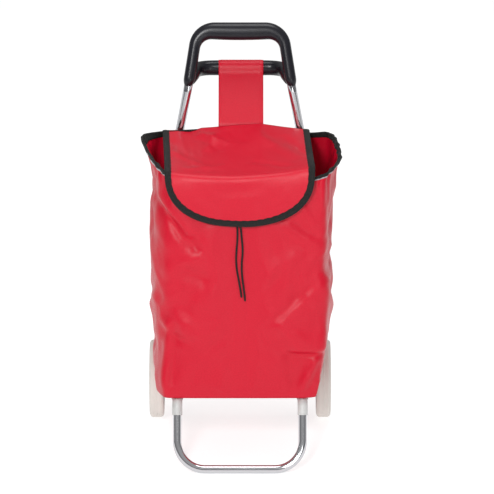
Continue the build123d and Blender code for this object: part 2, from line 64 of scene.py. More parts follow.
# ---------------------------------------------------------------- places, millimetres from the axle
AXLE_LOW, AXLE_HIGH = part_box("axle")
AXLE_Y = (AXLE_LOW[1] + AXLE_HIGH[1]) / 2
AXLE_Z = (AXLE_LOW[2] + AXLE_HIGH[2]) / 2 * 1000
LEAN = 5                       # degrees, frame and bag
GRIP_LEAN = 19                 # degrees, handle
BAG_LOW, MOUTH_Z = 148, 650
FRONT_LOW_Y = -245             # the front panel at its foot; it backs off FRONT_BACKS over FRONT_RISE
FRONT_BACKS, FRONT_RISE = 40, 507
BACK_GAP = 13.5                # back panel in front of the tubes' centres
X_AXIS = np.array([1.0, 0, 0])


def world(points):
    """Millimetres from the axle's middle on the floor, to metres in the shared frame."""
    return np.asarray(points, float) / 1000 + np.array([0, AXLE_Y, 0])


def front_y(z):
    return FRONT_LOW_Y + (np.asarray(z, float) - BAG_LOW) / FRONT_RISE * FRONT_BACKS


def back_y(z):
    return (np.asarray(z, float) - AXLE_Z) * tan(radians(LEAN)) - BACK_GAP


def frame_point(x, back, up):
    """Across, behind the side tubes' centres, and up the leaning frame."""
    s, c = sin(radians(LEAN)), cos(radians(LEAN))
    return np.array([x, up * s + back * c, AXLE_Z + up * c - back * s])


def unit(vectors):
    vectors = np.asarray(vectors, float)
    return vectors / np.maximum(np.linalg.norm(vectors, axis=-1, keepdims=True), 1e-9)


def run_lengths(points):
    """Distance run along a line of points, starting at 0."""
    return np.concatenate([[0], np.cumsum(np.linalg.norm(np.diff(points, axis=0), axis=1))])


def resample(points, lengths, count):
    """This many even points along a line, and how far along it each one lies."""
    even = np.linspace(0, lengths[-1], count)
    return np.stack([np.interp(even, lengths, column) for column in points.T], -1), even


# ---------------------------------------------------------------- camera
CAMERA_AT = (15, -100, 434.8)
CAMERA_DISTANCE, CAMERA_RISE = 8.0, 22         # metres, degrees above level
SENSOR, LENS = 36, 274.1


def add_camera():
    target = Vector(world(CAMERA_AT))
    distance, elevation = CAMERA_DISTANCE, radians(CAMERA_RISE)
    data = bpy.data.cameras.new("camera")
    data.sensor_width, data.lens = SENSOR, LENS
    data.clip_end = 50
    camera = bpy.data.objects.new("camera", data)
    bpy.context.collection.objects.link(camera)
    camera.location = target + distance * Vector((0, -cos(elevation), sin(elevation)))
    camera.rotation_euler = (pi / 2 - elevation, 0, 0)
    bpy.context.scene.camera = camera


# ---------------------------------------------------------------- node materials
def new_material(name, color, roughness, metallic=0.0, **extra):
    material = bpy.data.materials.new(name)
    material.use_nodes = True
    shader = material.node_tree.nodes["Principled BSDF"]
    shader.inputs["Base Color"].default_value = (*color, 1)
    shader.inputs["Roughness"].default_value = roughness
    shader.inputs["Metallic"].default_value = metallic
    for key, value in extra.items():
        shader.inputs[key.replace("_", " ")].default_value = value
    return material


def node(material, kind, **values):
    item = material.node_tree.nodes.new(kind)
    for key, value in values.items():
        if key in item.inputs:
            item.inputs[key].default_value = value
        else:
            setattr(item, key, value)
    return item


def link(material, source, target):
    material.node_tree.links.new(source, target)


def shader_of(material):
    return material.node_tree.nodes["Principled BSDF"]


def mottle(material, source, scale, low, high, target="Base Color", detail=3.0):
    """Soft variation of an input between two colours, from noise on the given coordinates."""
    noise_node = node(material, "ShaderNodeTexNoise", Scale=scale, Detail=detail)
    link(material, source, noise_node.inputs["Vector"])
    ramp = node(material, "ShaderNodeValToRGB")
    ramp.color_ramp.elements[0].position, ramp.color_ramp.elements[1].position = 0.35, 0.65
    ramp.color_ramp.elements[0].color = (*low, 1)
    ramp.color_ramp.elements[1].color = (*high, 1)
    link(material, noise_node.outputs["Fac"], ramp.inputs["Fac"])
    link(material, ramp.outputs["Color"], shader_of(material).inputs[target])


def add_bump(material, height, strength, distance):
    bump = node(material, "ShaderNodeBump", Strength=strength, Distance=distance)
    link(material, height, bump.inputs["Height"])
    earlier = shader_of(material).inputs["Normal"].links
    if earlier:
        link(material, earlier[0].from_socket, bump.inputs["Normal"])
    link(material, bump.outputs["Normal"], shader_of(material).inputs["Normal"])


def coordinates(material, which):
    return node(material, "ShaderNodeTexCoord").outputs[which]


WAVE_SCALE = 0.314              # Blender's wave texture repeats this many metres apart at scale 1


def weave_height(material, source, pitch):
    """Plain weave: two sets of ribs that pass over each other, pitch in metres."""
    ribs = []
    for axis in ("X", "Y"):
        wave = node(material, "ShaderNodeTexWave", wave_type="BANDS", bands_direction=axis,
                    Scale=WAVE_SCALE / pitch)
        link(material, source, wave.inputs["Vector"])
        ribs.append(wave.outputs["Fac"])
    both = node(material, "ShaderNodeMath", operation="MULTIPLY")
    link(material, ribs[0], both.inputs[0])
    link(material, ribs[1], both.inputs[1])
    return both.outputs[0]


def fabric_material(name, low, high, roughness, pitch, sheen, strength, gloss=0.5):
    material = new_material(name, high, roughness, Sheen_Weight=sheen, Sheen_Roughness=0.45,
                            Specular_IOR_Level=gloss)
    uv = coordinates(material, "UV")
    mottle(material, uv, 320, low, high, detail=4.0)
    fine = node(material, "ShaderNodeTexNoise", Scale=900, Detail=2.0)
    link(material, uv, fine.inputs["Vector"])
    add_bump(material, fine.outputs["Fac"], strength * 0.5, 0.0003)
    coarse = node(material, "ShaderNodeTexNoise", Scale=240, Detail=3.0)
    link(material, uv, coarse.inputs["Vector"])
    add_bump(material, coarse.outputs["Fac"], strength, 0.0006)
    add_bump(material, weave_height(material, uv, pitch), strength, 0.0004)
    return material


def plastic_material(name, color, roughness, grain, strength, spread=0.12, gloss=0.5):
    material = new_material(name, color, roughness, Specular_IOR_Level=gloss)
    where = coordinates(material, "Object")
    mottle(material, where, 35, [c * (1 - spread) for c in color], [min(1, c * (1 + spread)) for c in color])
    fine = node(material, "ShaderNodeTexNoise", Scale=grain, Detail=3.0)
    link(material, where, fine.inputs["Vector"])
    add_bump(material, fine.outputs["Fac"], strength, 0.0003)
    return material


def metal_material(name, color, roughness, scratch):
    material = new_material(name, color, roughness, metallic=1.0)
    where = coordinates(material, "Object")
    mottle(material, where, 9, [roughness * 0.75] * 3, [roughness * 1.3] * 3, target="Roughness")
    fine = node(material, "ShaderNodeTexNoise", Scale=260, Detail=4.0)
    link(material, where, fine.inputs["Vector"])
    add_bump(material, fine.outputs["Fac"], scratch, 0.0002)
    return material


def make_materials():
    made = {
        "red_fabric": fabric_material("red_fabric", (0.525, 0.0015, 0.018), (0.575, 0.003, 0.023),
                                       0.36, 0.0016, 0.0, 0.3, 0.3),
        "black_tape": fabric_material("black_tape", (0.006, 0.006, 0.006), (0.016, 0.016, 0.015),
                                       0.75, 0.0018, 0.04, 0.9, 0.25),
        "reflective_tape": fabric_material("reflective_tape", (0.36, 0.37, 0.39), (0.5, 0.51, 0.53),
                                       0.45, 0.0012, 0.2, 0.4),
        "black_cord": fabric_material("black_cord", (0.006, 0.006, 0.006), (0.014, 0.014, 0.014),
                                       0.7, 0.0010, 0.05, 0.8, 0.25),
        "grip_plastic": plastic_material("grip_plastic", (0.008, 0.008, 0.012), 0.28, 1400, 0.1, gloss=0.3),
        "black_plastic": plastic_material("black_plastic", (0.02, 0.02, 0.022), 0.45, 900, 0.2),
        "grey_plastic": plastic_material("grey_plastic", (0.5, 0.5, 0.49), 0.4, 700, 0.15),
        "hub_plastic": plastic_material("hub_plastic", (0.05, 0.05, 0.055), 0.42, 700, 0.2),
        "tyre_cream": plastic_material("tyre_cream", (0.68, 0.635, 0.59), 0.62, 500, 0.2, 0.03),
        "board": plastic_material("board", (0.25, 0.15, 0.08), 0.7, 300, 0.4),
        "chrome_tube": metal_material("chrome_tube", (0.55, 0.55, 0.57), 0.1, 0.02),
        "zinc_steel": metal_material("zinc_steel", (0.6, 0.61, 0.63), 0.3, 0.15),
        "fastener_steel": metal_material("fastener_steel", (0.7, 0.7, 0.71), 0.22, 0.1),
    }
    for part in frame["record"]["subparts"]:
        piece = bpy.data.objects.get(part["node"])
        if piece is None:
            piece = frame["nodes"][part["node"]]
        piece.data.materials.clear()
        piece.data.materials.append(made[part["material_slot"]])
    return made


# ---------------------------------------------------------------- mesh helpers
def grid_faces(rows, cols, wrap_cols=False, wrap_rows=False):
    faces = []
    for r in range(rows if wrap_rows else rows - 1):
        for c in range(cols if wrap_cols else cols - 1):
            r2, c2 = (r + 1) % rows, (c + 1) % cols
            faces.append((r * cols + c, r * cols + c2, r2 * cols + c2, r2 * cols + c))
    return faces


def add_piece(name, points, faces, body, slot, replaces=(), uv=None):
    """A smooth mesh from points in millimetres, riding on a body; uv is in metres, one per point."""
    mesh = bpy.data.meshes.new(name)
    mesh.from_pydata([tuple(p) for p in world(points)], [], faces)
    mesh.polygons.foreach_set("use_smooth", [True] * len(mesh.polygons))
    layer = mesh.uv_layers.new(name="UVMap")
    flat = np.asarray(points, float)[:, :2] / 1000 if uv is None else np.asarray(uv, float)
    loop_points = np.empty(len(mesh.loops), dtype=np.int64)
    mesh.loops.foreach_get("vertex_index", loop_points)
    layer.data.foreach_set("uv", flat[loop_points].ravel())
    piece = bpy.data.objects.new(name, mesh)
    bpy.context.collection.objects.link(piece)
    mesh.materials.append(MATERIALS[slot])
    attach(piece, body)
    if replaces:
        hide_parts(*replaces)
    return piece


def apply_modifiers(piece):
    graph = bpy.context.evaluated_depsgraph_get()
    mesh = bpy.data.meshes.new_from_object(piece.evaluated_get(graph))
    piece.modifiers.clear()
    piece.data = mesh
    return piece


def thicken(piece, millimetres, offset=-1.0):
    solid = piece.modifiers.new("thickness", "SOLIDIFY")
    solid.thickness, solid.offset = millimetres / 1000, offset
    return apply_modifiers(piece)


def blur(values, sigma, axis, closed):
    """Gaussian smoothing along one axis of a grid of values; open ends stay where they are."""
    reach = int(3 * sigma) + 1
    kernel = np.exp(-0.5 * (np.arange(-reach, reach + 1) / sigma) ** 2)
    kernel /= kernel.sum()
    values = np.moveaxis(values, axis, 0)
    if closed:
        padded = np.concatenate([values[-reach:], values, values[:reach]])
    else:
        head = 2 * values[:1] - values[reach:0:-1]
        tail = 2 * values[-1:] - values[-2:-reach - 2:-1]
        padded = np.concatenate([head, values, tail])
    out = sum(k * padded[i:i + len(values)] for i, k in enumerate(kernel))
    return np.moveaxis(out, 0, axis)


def path_frames(path, hint):
    """Side vectors and normals along an open path."""
    tangents = unit(np.gradient(path, axis=0))
    side = unit(np.cross(tangents, hint))
    return side, np.cross(side, tangents)


def section_sweep(sections, closed_path=False):
    """Faces over a stack of closed sections with equal numbers of points."""
    rows, cols = sections.shape[:2]
    faces = grid_faces(rows, cols, wrap_cols=True, wrap_rows=closed_path)
    if not closed_path:
        faces.append(tuple(range(cols))[::-1])
        faces.append(tuple((rows - 1) * cols + c for c in range(cols)))
    return sections.reshape(-1, 3), faces


def sweep_uv(sections):
    """Length along the sweep and round it, in metres."""
    rows = len(sections)
    along = run_lengths(sections.mean(1))
    ring = np.linalg.norm(sections[rows // 2] - np.roll(sections[rows // 2], 1, axis=0), axis=1)
    around = np.cumsum(ring)
    return np.stack(np.meshgrid(along, around, indexing="ij"), -1).reshape(-1, 2) / 1000


def rounded_route(points, radius, per_mm=0.4):
    """Dense points along straight runs with the corners rounded by arcs, in the plane of each corner."""
    points = [np.asarray(p, float) for p in points]
    dense = [points[0]]

    def run_to(target):
        start = dense[-1]
        steps = max(2, int(np.linalg.norm(target - start) * per_mm))
        dense.extend(start + (target - start) * k / steps for k in range(1, steps + 1))

    for before, corner, after in zip(points, points[1:], points[2:]):
        a, b = unit(before - corner), unit(after - corner)
        half = np.arccos(np.clip(a @ b, -1, 1)) / 2
        centre = corner + unit(a + b) * radius / sin(half)
        first, last = corner + a * radius / tan(half), corner + b * radius / tan(half)
        run_to(first)
        sweep_angle = pi - 2 * half
        steps = max(6, int(radius * sweep_angle * per_mm))
        u, w = unit(first - centre), unit(last - centre)
        for k in range(1, steps + 1):
            t = k / steps
            mixed = np.sin((1 - t) * sweep_angle) * u + np.sin(t * sweep_angle) * w
            dense.append(centre + radius * mixed / np.sin(sweep_angle))
    run_to(points[-1])
    return np.array(dense)


def superellipse(count, power, extra=()):
    """Unit closed curve, with extra angles where a fine detail needs points."""
    even = np.linspace(0, 2 * pi, count, endpoint=False)
    angles = np.sort(np.concatenate([even, np.radians(extra)]) % (2 * pi))
    c, s = np.cos(angles), np.sin(angles)
    return angles, np.sign(c) * np.abs(c) ** (2 / power), np.sign(s) * np.abs(s) ** (2 / power)


# ---------------------------------------------------------------- handle
GRIP_H, GRIP_BAR = 140, 37
GRIP_END_X, GRIP_LEG, GRIP_TAPER = 111, 25, 0.16
GRIP_HALF_DEPTH = 15
GRIP_OUTER_R, GRIP_INNER_R = 55, 23.4
GRIP_BELLY = 1.6                       # how far the bar's underside hangs in its middle
GRIP_FOOT = 655                        # up the leaning frame
GRIP_ORIGIN = frame_point(0, 0, GRIP_FOOT)
GRIP_UP = np.array([0, sin(radians(GRIP_LEAN)), cos(radians(GRIP_LEAN))])
GRIP_BACK = np.array([0, cos(radians(GRIP_LEAN)), -sin(radians(GRIP_LEAN))])


def grip_edge(end_x, height, radius, belly, samples):
    """Left half, then right half, of one edge of the loop, in the loop's own plane."""
    taper = np.array([-GRIP_TAPER * height, height])
    corner = np.array([end_x, 0.0]) + taper
    half = rounded_route([(end_x, 0, 0), (corner[0], corner[1], 0), (0, height, 0)], radius, 2.0)
    length = run_lengths(half)
    # matched marks: leg, corner, bar
    turn = pi / 2 - np.arctan(GRIP_TAPER)
    leg = np.linalg.norm(taper) - radius * tan(turn / 2)
    marks = np.array([0, leg, leg + radius * turn, length[-1]])
    share = np.interp(np.linspace(0, 3, samples), [0, 1, 2, 3], marks)
    right = np.stack([np.interp(share, length, half[:, k]) for k in range(2)], -1)
    right[:, 1] -= belly * np.clip(1 - (right[:, 0] / 60) ** 2, 0, 1) * (right[:, 1] > height * 0.9)
    left = right[::-1] * np.array([-1, 1])
    return np.concatenate([right, left[1:]])


def grip_sections():
    samples = 78
    outer = grip_edge(GRIP_END_X + GRIP_LEG / 2, GRIP_H, GRIP_OUTER_R, 0, samples)
    inner = grip_edge(GRIP_END_X - GRIP_LEG / 2, GRIP_H - GRIP_BAR + 0.6, GRIP_INNER_R, GRIP_BELLY, samples)
    middle, across = (outer + inner) / 2, (outer - inner) / 2
    groove = (-6, -4, -2.6, -1.3, 1.3, 2.6, 4, 6, 174, 176, 177.4, 178.7, 181.3, 182.6, 184, 186)
    angles, c, s = superellipse(44, 2.35, groove)
    dent = 0.55 * np.exp(-(np.degrees(np.arcsin(np.sin(angles))) / 1.7) ** 2)
    sections = []
    count = len(middle)
    ends = np.ones(count)
    rounding = np.sin(np.linspace(0.45, pi / 2, 7))
    ends[:7], ends[-7:] = rounding, rounding[::-1]
    for k in range(count):
        half = np.linalg.norm(across[k])
        direction = across[k] / half
        width = (half * ends[k] - dent) * c
        depth = GRIP_HALF_DEPTH * ends[k] * s
        plane = middle[k] + width[:, None] * direction
        flat = GRIP_ORIGIN + plane[:, :1] * X_AXIS + plane[:, 1:] * GRIP_UP
        sections.append(flat + depth[:, None] * GRIP_BACK)
    return np.array(sections)


def make_grip():
    """The moulded handle loop, its two shells meeting at a fine parting line."""
    sections = grip_sections()
    points, faces = section_sweep(sections)
    add_piece("handle_loop", points, faces, "frame", "grip_plastic",
              ("grip_front_shell", "grip_rear_shell"), sweep_uv(sections))


HANG_X, HANG_REACH, HANG_R, HANG_DROP, HANG_UP = 98, 66, 36, 6, 28
HANG_HALF = (14, 16)
HANG_OUT = np.array([0, cos(radians(HANG_DROP)), -sin(radians(HANG_DROP))])
HANG_NORMAL = np.array([0, sin(radians(HANG_DROP)), cos(radians(HANG_DROP))])
HANG_ORIGIN = GRIP_ORIGIN + HANG_UP * GRIP_UP


def make_hang_bar():
    """Second bar, swept back from the handle's legs, thinner where its ends sink into them."""
    route = [(HANG_X + 8, -2, -10), (HANG_X, 22, 0), (HANG_X, HANG_REACH, 0), (-HANG_X, HANG_REACH, 0),
             (-HANG_X, 22, 0), (-HANG_X - 8, -2, -10)]
    plane = rounded_route(route[1:-1], HANG_R, 0.5)
    plane = np.concatenate([[route[0]], plane, [route[-1]]])
    first, last = np.linspace(plane[0], plane[1], 12)[:-1], np.linspace(plane[-2], plane[-1], 12)[1:]
    plane = np.concatenate([first, plane[1:-1], last])
    plane = blur(plane, 3.0, 0, False)
    path = HANG_ORIGIN + plane[:, :1] * X_AXIS + plane[:, 1:2] * HANG_OUT + plane[:, 2:] * HANG_NORMAL
    side, _ = path_frames(path, HANG_NORMAL)
    _, c, s = superellipse(44, 2.15)
    sections = []
    for k, centre in enumerate(path):
        belly = 0.5 * max(0, 1 - (plane[k, 0] / 70) ** 2) * (plane[k, 1] > HANG_REACH - 1)
        swell = 0.7 + 0.3 * np.clip((plane[k, 1] + 2) / 22, 0, 1) ** 0.5
        ring = centre + (HANG_HALF[0] * swell * c)[:, None] * side[k]
        sections.append(ring + ((HANG_HALF[1] * swell + belly) * s)[:, None] * HANG_NORMAL)
    sections = np.array(sections)
    points, faces = section_sweep(sections)
    add_piece("hanging_bar", points, faces, "frame", "grip_plastic", ("hang_bar",), sweep_uv(sections))


# ---------------------------------------------------------------- bag
# height; half widths on the left at the back, middle and front; the same on the right; front bulge
BAG_ROWS = [
    (148, (144, 174, 182), (144, 154, 163), 1),
    (160, (148, 179, 184), (148, 160, 167), 2),
    (190, (156, 184, 182), (154, 172, 174), 3),
    (250, (172, 186, 166), (172, 188, 178), 5),
    (310, (180, 187, 172), (182, 192, 184), 6),
    (380, (184, 189, 178), (186, 198, 187), 6),
    (440, (186, 190, 178), (186, 189, 180), 6),
    (492, (186, 187, 172), (186, 192, 182), 5),
    (555, (184, 180, 166), (188, 193, 184), 4),
    (592, (184, 179, 160), (192, 198, 182), 3),
    (622, (184, 186, 157), (194, 205, 174), 2),
]
# the mouth's hem, from the back middle round the right side: across, back, up
MOUTH = [
    (10, 35, 660), (85, 35, 655), (150, 27, 645), (184, 33, 646), (201, 6, 649), (210, -62, 651),
    (214, -126, 647),
    (184, -186, 636), (152, -203, 630), (80, -209, 628), (0, -211, 628), (-80, -208, 630), (-152, -200, 638),
    (-186, -130, 649), (-210, -50, 662), (-205, -6, 655), (-168, 27, 649), (-95, 35, 650),
]
AROUND, STOREYS = 18, 112               # points between two anchors, and levels
CRISP_Z = 620                          # the corners grow crisper again above this height
CLOTH = 1.2                            # thickness of the coated cloth as modelled


def bag_anchor_row(z, left, right, bulge):
    """Anchor points of one level, in the same order as the mouth's."""
    back, front = float(back_y(z)), float(front_y(z))
    deep = front - back
    (lb, lm, lf), (rb, rm, rf) = left, right
    return [
        (0, back, z), (0.55 * rb, back, z), (0.85 * rb, back, z), (rb, back - 4, z),
        (0.4 * rb + 0.6 * rm, back + 0.2 * deep, z), (rm, back + 0.45 * deep, z),
        (0.6 * rm + 0.4 * rf, back + 0.75 * deep, z),
        (rf, front + 6, z), (0.85 * rf, front - 0.5 * bulge, z), (0.45 * rf, front - bulge, z),
        (0, front - bulge, z),
        (-0.45 * lf, front - bulge, z), (-0.88 * lf, front - 0.4 * bulge, z),
        (-0.4 * lm - 0.6 * lf, front + 0.18 * -deep, z),
        (-lm, back + 0.5 * deep, z), (-0.5 * lm - 0.5 * lb, back + 0.22 * deep, z), (-lb, back - 4, z),
        (-0.5 * lb, back, z),
    ]


def bag_surface():
    """Grid of points, level by level from the foot to the mouth, before any fold."""
    levels = [row[0] for row in BAG_ROWS] + [MOUTH_Z]
    anchors = np.array([bag_anchor_row(*row) for row in BAG_ROWS] + [MOUTH], float)
    count = anchors.shape[1]
    heights = np.linspace(levels[0], levels[-1], STOREYS)
    grid = np.empty((STOREYS, count, 3))
    for a in range(count):
        for k in range(3):
            grid[:, a, k] = np.interp(heights, levels, anchors[:, a, k])
    grid = blur(grid, 3.0, 0, closed=False)
    around = np.arange(count * AROUND) / AROUND
    wrapped = np.concatenate([grid, grid[:, :1]], axis=1)
    dense = np.empty((STOREYS, count * AROUND, 3))
    for r in range(STOREYS):
        for k in range(3):
            dense[r, :, k] = np.interp(around, np.arange(count + 1), wrapped[r, :, k])
    soft, crisp = blur(dense, 5.0, 1, closed=True), blur(dense, 1.6, 1, closed=True)
    # crisp corners at the foot and the hem, soft ones between
    level = heights[:, None, None]
    share = np.clip((level - BAG_LOW) / 120, 0, 1) * 0.75 + 0.25
    share = np.where(level > CRISP_Z, share * (1 - np.clip((level - CRISP_Z) / 30, 0, 1) * 0.6), share)
    return soft * share + crisp * (1 - share)


def grid_normals(grid):
    """Outward normals of a closed grid."""
    around = np.roll(grid, -1, axis=1) - np.roll(grid, 1, axis=1)
    up = np.gradient(grid, axis=0)
    return unit(np.cross(up, around))


def ridge(flat, start, end, width, height, skew=1):
    """Ridge, or valley with height below 0, along a line in a plane; skew widens one of its slopes."""
    start, end = np.array(start, float), np.array(end, float)
    line = end - start
    along = ((flat - start) @ line) / (line @ line)
    off = (flat - start) @ np.array([line[1], -line[0]]) / np.linalg.norm(line)
    taper = np.clip(1 - np.abs(2 * along - 1) ** 3, 0, 1) * (along > 0) * (along < 1)
    return height * taper * np.exp(-0.5 * (off / width / np.where(off < 0, skew, 1)) ** 2)


def noise_at(points):
    """Smooth noise, about -1 to 1, at scaled points."""
    shape = points.shape[:-1]
    flat = [noise.noise(Vector(p)) for p in points.reshape(-1, 3)]
    return np.array(flat).reshape(shape)


# folds of the front panel: from, to, width, height
FRONT_CREASES = [
    ((-186, 618), (-92, 498), 5, 10, 4), ((-196, 600), (-100, 480), 7, -9), ((-104, 512), (-88, 470), 7, -6),
    ((-186, 560), (-150, 470), 8, 5), ((-182, 640), (-160, 560), 5, 4),
    ((-90, 500), (-10, 440), 9, 6, 4), ((-150, 300), (-60, 450), 12, -6, 3),
    ((174, 402), (64, 300), 6, 6, 4), ((160, 410), (50, 308), 8, -5), ((120, 372), (40, 318), 9, 4),
    ((60, 330), (150, 262), 12, 5), ((92, 258), (196, 254), 4, 7, 5), ((92, 247), (196, 242), 5, -6),
    ((128, 160), (168, 252), 7, 7), ((112, 172), (148, 240), 9, -4), ((-164, 152), (-152, 330), 6, 7),
    ((-146, 170), (-134, 330), 9, -5), ((-150, 345), (-40, 232), 14, 6), ((-120, 300), (0, 210), 15, -5),
    ((-40, 480), (60, 396), 22, 4), ((-150, 446), (-50, 404), 12, -6), ((-170, 420), (-70, 470), 11, 6),
    ((60, 566), (168, 498), 10, -6), ((84, 546), (190, 466), 10, 6), ((110, 600), (160, 520), 7, 5),
    ((176, 640), (170, 560), 5, 4), ((190, 640), (186, 570), 5, -4), ((40, 420), (140, 470), 13, 4),
    ((-60, 180), (60, 172), 14, 3), ((-176, 300), (-96, 262), 8, -5), ((20, 300), (150, 212), 12, -4),
]
# folds of the two sides: from, to (back to front, up), width, height
SIDE_CREASES = [
    ((-30, 600), (-190, 470), 12, -7), ((-20, 570), (-180, 430), 14, 6), ((-200, 400), (-60, 300), 12, -6),
    ((-210, 372), (-50, 268), 13, 6), ((-190, 250), (-30, 210), 10, -5), ((-110, 640), (-130, 520), 9, 5),
    ((-60, 640), (-50, 560), 8, -5), ((-170, 630), (-190, 560), 7, 4), ((-120, 200), (-20, 330), 13, 5),
]


def fold_bag(grid):
    """Creases on the front and sides, waves and crumples all over and small gathers under the hem."""
    normals = grid_normals(grid)
    facing = np.clip(-normals[..., 1], 0, 1) ** 0.5
    sideways = np.clip(np.abs(normals[..., 0]), 0, 1) ** 2
    height = sum(ridge(grid[..., [0, 2]], *c) for c in FRONT_CREASES) * facing * 0.95
    height += sum(ridge(grid[..., [1, 2]], *c) for c in SIDE_CREASES) * sideways * 0.7
    drift = 4.5 * noise_at(grid * [0.011, 0.011, 0.008] + [3, 0, 0])
    drift = drift + 1.3 * noise_at(grid * [0.03, 0.03, 0.02])
    warp = np.stack([noise_at(grid * 0.009 + shift) for shift in ([7, 0, 0], [0, 9, 0], [0, 0, 5])], -1)
    for size, depth in ((0.0085, 7.0), (0.019, 3.2), (0.04, 1.1)):
        spots = grid * [size, size, size * 0.8] + warp * 0.9 + [size * 900, 2, 1]
        drift += depth * (0.3 - np.abs(noise_at(spots)))
    rows, cols = grid.shape[:2]
    level = np.linspace(0, 1, rows)[:, None]
    free = np.clip(level / 0.05, 0, 1) * np.clip((1 - level) / 0.05, 0, 1)
    outside = 1 - np.clip(normals[..., 1], 0, 1)
    around = np.arange(cols) * 2 * pi / cols
    gather = 1.5 * np.sin(34 * around) + 0.8 * np.sin(55 * around + 1)
    gather = gather[None] * np.clip((level - 0.84) / 0.16, 0, 1) ** 2
    total = (height + drift) * free * (0.15 + 0.85 * outside) + gather * outside * 0.8
    grid = grid + normals * total[..., None]
    grid[..., 1] = np.minimum(grid[..., 1], back_y(grid[..., 2]) - 0.5)
    # the drawstring ends lie in a shallow dip of the front panel
    x, y, z = np.moveaxis(grid, 2, 0)
    limit = front_y(z) - 2.6 - 0.02 * np.clip(np.abs(x) - 12, 0, None) ** 1.6
    grid[..., 1] = np.where(y < 0, np.maximum(y, limit), y)
    return grid


def bag_floor(ring):
    """Rings from the wall's foot in to the middle of the bottom."""
    centre = ring.mean(0) + np.array([0, 0, 1.5])
    shares = [0.985, 0.94, 0.84, 0.7, 0.55, 0.4, 0.25, 0.1]
    rings = [centre + (ring - centre) * s - np.array([0, 0, 3.0 * (s < 0.98)]) for s in shares]
    return np.array(rings[::-1])


def bag_uv(grid):
    step = np.linalg.norm(np.roll(grid, -1, axis=1) - grid, axis=2).mean(0)
    around = np.concatenate([[0], np.cumsum(step)[:-1]])
    up = np.concatenate([[0], np.cumsum(np.linalg.norm(np.diff(grid, axis=0), axis=2).mean(1))])
    return np.stack(np.meshgrid(around, up), -1).reshape(-1, 2) / 1000


def make_bag():
    walls = fold_bag(bag_surface())
    floor = bag_floor(walls[0])
    grid = np.concatenate([floor, walls])
    rows, cols = grid.shape[:2]
    faces = grid_faces(rows, cols, wrap_cols=True)
    faces.append(tuple(range(cols))[::-1])
    faces = [face[::-1] for face in faces]
    bag = add_piece("bag", grid.reshape(-1, 3), faces, "frame", "red_fabric",
                    ("bag_front_panel", "bag_back_panel", "bag_side_panel_left", "bag_side_panel_right",
                     "bag_bottom_panel"), bag_uv(grid))
    thicken(bag, CLOTH)
    return bag, walls


def hem_strip(rows, outside, inside, swell):
    """Tape folded over a cloth's edge; rows of points and normals run from the edge into the cloth."""
    points, normals = rows
    outer = points[::-1] + normals[::-1] * outside
    inner = points - normals * inside
    into = unit(points[1] - points[0])
    top = points[0] - into * swell
    lip = np.stack([top + normals[0] * outside * 0.7, top - into * 0.4, top - normals[0] * inside * 0.7])
    return np.concatenate([outer, lip, inner]).transpose(1, 0, 2)


STITCH = 1.9                           # half length of one stitch
STITCH_PITCH = 5.2
STITCH_SIDES = 6
# along the stitch, radius
STITCH_SHAPE = ((-STITCH, 0.12), (-STITCH * 0.6, 0.42), (0, 0.5), (STITCH * 0.6, 0.42), (STITCH, 0.12))


def make_stitches(name, lines, body, slot):
    """Raised thread stitches along lines of (points, normals), each stitch a small pointed bead."""
    points, faces = [], []
    turns = np.linspace(0, 2 * pi, STITCH_SIDES, endpoint=False)
    bead = grid_faces(len(STITCH_SHAPE), STITCH_SIDES, wrap_cols=True)
    bead.append(tuple(range(STITCH_SIDES))[::-1])
    bead.append(tuple(range((len(STITCH_SHAPE) - 1) * STITCH_SIDES, len(STITCH_SHAPE) * STITCH_SIDES)))
    for line, normals in lines:
        length = run_lengths(line)
        for middle in np.arange(STITCH_PITCH, length[-1] - STITCH_PITCH, STITCH_PITCH):
            start = len(points)
            for offset, radius in STITCH_SHAPE:
                spot = np.array([np.interp(middle + offset, length, line[:, k]) for k in range(3)])
                up = unit([np.interp(middle + offset, length, normals[:, k]) for k in range(3)])
                ahead = unit([np.interp(middle + offset + 0.5, length, line[:, k]) for k in range(3)] - spot)
                across = np.cross(ahead, up)
                ring = np.cos(turns)[:, None] * across + np.sin(turns)[:, None] * up
                points += list(spot + radius * ring)
            faces += [tuple(start + i for i in face) for face in bead]
    return add_piece(name, np.array(points), faces, body, slot)


def strip_rows(walls, depths):
    """Rows of points at the given distances below the mouth's edge, with outward normals."""
    normals = grid_normals(walls)
    down = np.linalg.norm(np.diff(walls[::-1], axis=0), axis=2).mean(1)
    reach = np.concatenate([[0], np.cumsum(down)])
    rows, row_normals = [], []
    for depth in depths:
        k = min(int(np.searchsorted(reach, depth, side="right")) - 1, len(reach) - 2)
        t = (depth - reach[k]) / (reach[k + 1] - reach[k])
        top, low = len(walls) - 1 - k, len(walls) - 2 - k
        rows.append(walls[top] * (1 - t) + walls[low] * t)
        row_normals.append(normals[top] * (1 - t) + normals[low] * t)
    return np.array(rows), unit(np.array(row_normals))


def make_mouth_trim(walls):
    """Black tape over the mouth's edge and a silver-grey tape just under it."""
    rows = strip_rows(walls, (0, 2, 4.5, 7, 9.5, 11.5))
    sections = hem_strip(rows, 1.3, 2.6, 1.6)
    points, faces = section_sweep(sections, closed_path=True)
    tape = add_piece("mouth_tape", points, faces, "frame", "black_tape", ("mouth_binding",),
                     sweep_uv(sections))
    points, normals = strip_rows(walls, (11.5, 13.5, 15.5))
    outer, inner = points + normals * 0.9, (points - normals * 0.4)[::-1]
    sections = np.concatenate([outer, inner]).transpose(1, 0, 2)
    points, faces = section_sweep(sections, closed_path=True)
    silver = add_piece("silver_tape", points, faces, "frame", "reflective_tape", ("reflective_piping",),
                       sweep_uv(sections))
    row, row_normals = strip_rows(walls, (8.8,))
    around, ahead = (np.concatenate([ring[0], ring[0, :2]]) for ring in (row, row_normals))
    stitches = make_stitches("mouth_stitches", [(around + ahead * 1.35, ahead)], "frame", "black_tape")
    return tape, silver, stitches


